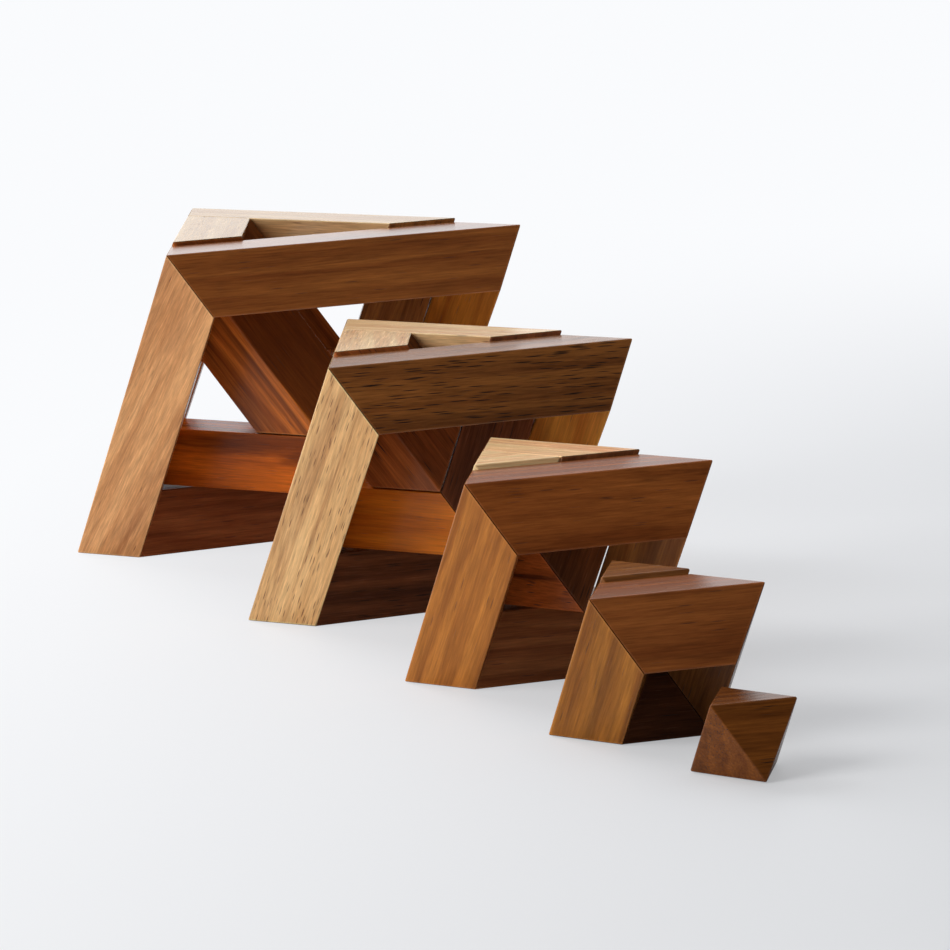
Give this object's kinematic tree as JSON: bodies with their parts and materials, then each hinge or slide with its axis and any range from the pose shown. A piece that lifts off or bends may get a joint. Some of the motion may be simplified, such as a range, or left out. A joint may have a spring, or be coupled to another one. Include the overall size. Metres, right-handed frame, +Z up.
{
  "type": "burr puzzle",
  "caption": "Set of graduated octahedral wooden burr puzzles, each a nest of square rings of mitred diamond-section sticks with sliding keys.",
  "frame": {"origin": "On the table, under the middle of the whole set's box", "axes": "+Z up, +Y back along the row towards the largest size, +X to the right seen from the front"},
  "size_m": [0.169, 0.3428, 0.0826],
  "materials": {
    "tan_wood": "satin oiled pale tan hardwood with short dark pores",
    "brown_wood": "satin oiled mid brown hardwood",
    "dark_wood": "satin oiled dark brown hardwood with black pore streaks",
    "deep_wood": "satin oiled very dark brown hardwood",
    "amber_wood": "satin oiled golden orange hardwood"
  },
  "bodies": {
    "size5_frame": {"size5_outer_right_leg": "amber_wood", "size5_outer_foot_bar": "brown_wood", "size5_outer_left_leg": "tan_wood"},
    "size5_outer_key": {"size5_outer_top_key": "brown_wood"},
    "size5_middle": {"size5_middle_left_leg": "brown_wood", "size5_middle_low_bar": "brown_wood", "size5_middle_right_leg": "dark_wood"},
    "size5_middle_key": {"size5_middle_back_key": "tan_wood"},
    "size5_inner": {"size5_inner_front_leg": "brown_wood", "size5_inner_low_bar": "brown_wood", "size5_inner_rear_leg": "dark_wood"},
    "size5_inner_key": {"size5_inner_left_key": "tan_wood"},
    "size4_frame": {"size4_outer_right_leg": "amber_wood", "size4_outer_foot_bar": "deep_wood", "size4_outer_left_leg": "tan_wood"},
    "size4_outer_key": {"size4_outer_top_key": "dark_wood"},
    "size4_middle": {"size4_middle_left_leg": "brown_wood", "size4_middle_low_bar": "amber_wood", "size4_middle_right_leg": "deep_wood"},
    "size4_middle_key": {"size4_middle_back_key": "tan_wood"},
    "size4_inner": {"size4_inner_front_leg": "dark_wood", "size4_inner_low_bar": "brown_wood", "size4_inner_rear_leg": "dark_wood"},
    "size4_inner_key": {"size4_inner_left_key": "tan_wood"},
    "size3_frame": {"size3_outer_right_leg": "brown_wood", "size3_outer_foot_bar": "brown_wood", "size3_outer_left_leg": "brown_wood"},
    "size3_outer_key": {"size3_outer_top_key": "brown_wood"},
    "size3_middle": {"size3_middle_left_leg": "brown_wood", "size3_middle_low_bar": "dark_wood", "size3_middle_right_leg": "deep_wood"},
    "size3_middle_key": {"size3_middle_back_key": "tan_wood"},
    "size3_core": {"size3_core": "tan_wood"},
    "size2_frame": {"size2_outer_right_leg": "dark_wood", "size2_outer_foot_bar": "deep_wood", "size2_outer_left_leg": "brown_wood"},
    "size2_outer_key": {"size2_outer_top_key": "brown_wood"},
    "size2_core": {"size2_core": "brown_wood"},
    "size1": {"size1_core": "dark_wood"}
  },
  "joints": [
    {"name": "size5_outer_key_slide", "type": "slide", "parent": "size5_frame", "child": "size5_outer_key", "axis": [0.2887, -0.5, 0.8165], "range_m": [0, 0.04]},
    {"name": "size5_middle_slide", "type": "slide", "parent": "size5_frame", "child": "size5_middle", "axis": [0.2887, -0.5, 0.8165], "range_m": [0, 0.02]},
    {"name": "size5_middle_key_slide", "type": "slide", "parent": "size5_middle", "child": "size5_middle_key", "axis": [0.2887, 0.5, 0.8165], "range_m": [0, 0.03]},
    {"name": "size5_inner_slide", "type": "slide", "parent": "size5_middle", "child": "size5_inner", "axis": [0.2887, 0.5, 0.8165], "range_m": [0, 0.015]},
    {"name": "size5_inner_key_slide", "type": "slide", "parent": "size5_inner", "child": "size5_inner_key", "axis": [-0.5773, 0, 0.8165], "range_m": [0, 0.03]},
    {"name": "size4_outer_key_slide", "type": "slide", "parent": "size4_frame", "child": "size4_outer_key", "axis": [0.279, -0.5054, 0.8165], "range_m": [0, 0.032]},
    {"name": "size4_middle_slide", "type": "slide", "parent": "size4_frame", "child": "size4_middle", "axis": [0.279, -0.5054, 0.8165], "range_m": [0, 0.016]},
    {"name": "size4_middle_key_slide", "type": "slide", "parent": "size4_middle", "child": "size4_middle_key", "axis": [0.2982, 0.4944, 0.8165], "range_m": [0, 0.024]},
    {"name": "size4_inner_slide", "type": "slide", "parent": "size4_middle", "child": "size4_inner", "axis": [0.2982, 0.4944, 0.8165], "range_m": [0, 0.012]},
    {"name": "size4_inner_key_slide", "type": "slide", "parent": "size4_inner", "child": "size4_inner_key", "axis": [-0.5772, 0.0111, 0.8165], "range_m": [0, 0.024]},
    {"name": "size3_outer_key_slide", "type": "slide", "parent": "size3_frame", "child": "size3_outer_key", "axis": [0.2458, -0.5224, 0.8165], "range_m": [0, 0.024]},
    {"name": "size3_middle_slide", "type": "slide", "parent": "size3_frame", "child": "size3_middle", "axis": [0.2458, -0.5224, 0.8165], "range_m": [0, 0.012]},
    {"name": "size3_middle_key_slide", "type": "slide", "parent": "size3_middle", "child": "size3_middle_key", "axis": [0.3295, 0.4741, 0.8165], "range_m": [0, 0.018]},
    {"name": "size3_core_slide", "type": "slide", "parent": "size3_middle", "child": "size3_core", "axis": [0.3295, 0.4741, 0.8165], "range_m": [0, 0.009]},
    {"name": "size2_outer_key_slide", "type": "slide", "parent": "size2_frame", "child": "size2_outer_key", "axis": [0.2228, -0.5326, 0.8165], "range_m": [0, 0.016]},
    {"name": "size2_core_slide", "type": "slide", "parent": "size2_frame", "child": "size2_core", "axis": [-0.7899, 0.3922, 0.4714], "range_m": [0, 0.03]},
    {"name": "size4_table_slide", "type": "slide", "parent": "size5_frame", "child": "size4_frame", "axis": [1, 0, 0], "range_m": [-0.03, 0.06]},
    {"name": "size3_table_slide", "type": "slide", "parent": "size5_frame", "child": "size3_frame", "axis": [1, 0, 0], "range_m": [-0.03, 0.06]},
    {"name": "size2_table_slide", "type": "slide", "parent": "size5_frame", "child": "size2_frame", "axis": [1, 0, 0], "range_m": [-0.03, 0.06]},
    {"name": "size1_table_slide", "type": "slide", "parent": "size5_frame", "child": "size1", "axis": [1, 0, 0], "range_m": [-0.03, 0.06]}
  ],
  "couplings": [
    {"joint": "size5_middle_slide", "follows": "size5_outer_key_slide", "ratio": 0.5},
    {"joint": "size5_inner_slide", "follows": "size5_middle_key_slide", "ratio": 0.5},
    {"joint": "size4_middle_slide", "follows": "size4_outer_key_slide", "ratio": 0.5},
    {"joint": "size4_inner_slide", "follows": "size4_middle_key_slide", "ratio": 0.5},
    {"joint": "size3_middle_slide", "follows": "size3_outer_key_slide", "ratio": 0.5},
    {"joint": "size3_core_slide", "follows": "size3_middle_key_slide", "ratio": 0.5}
  ]
}
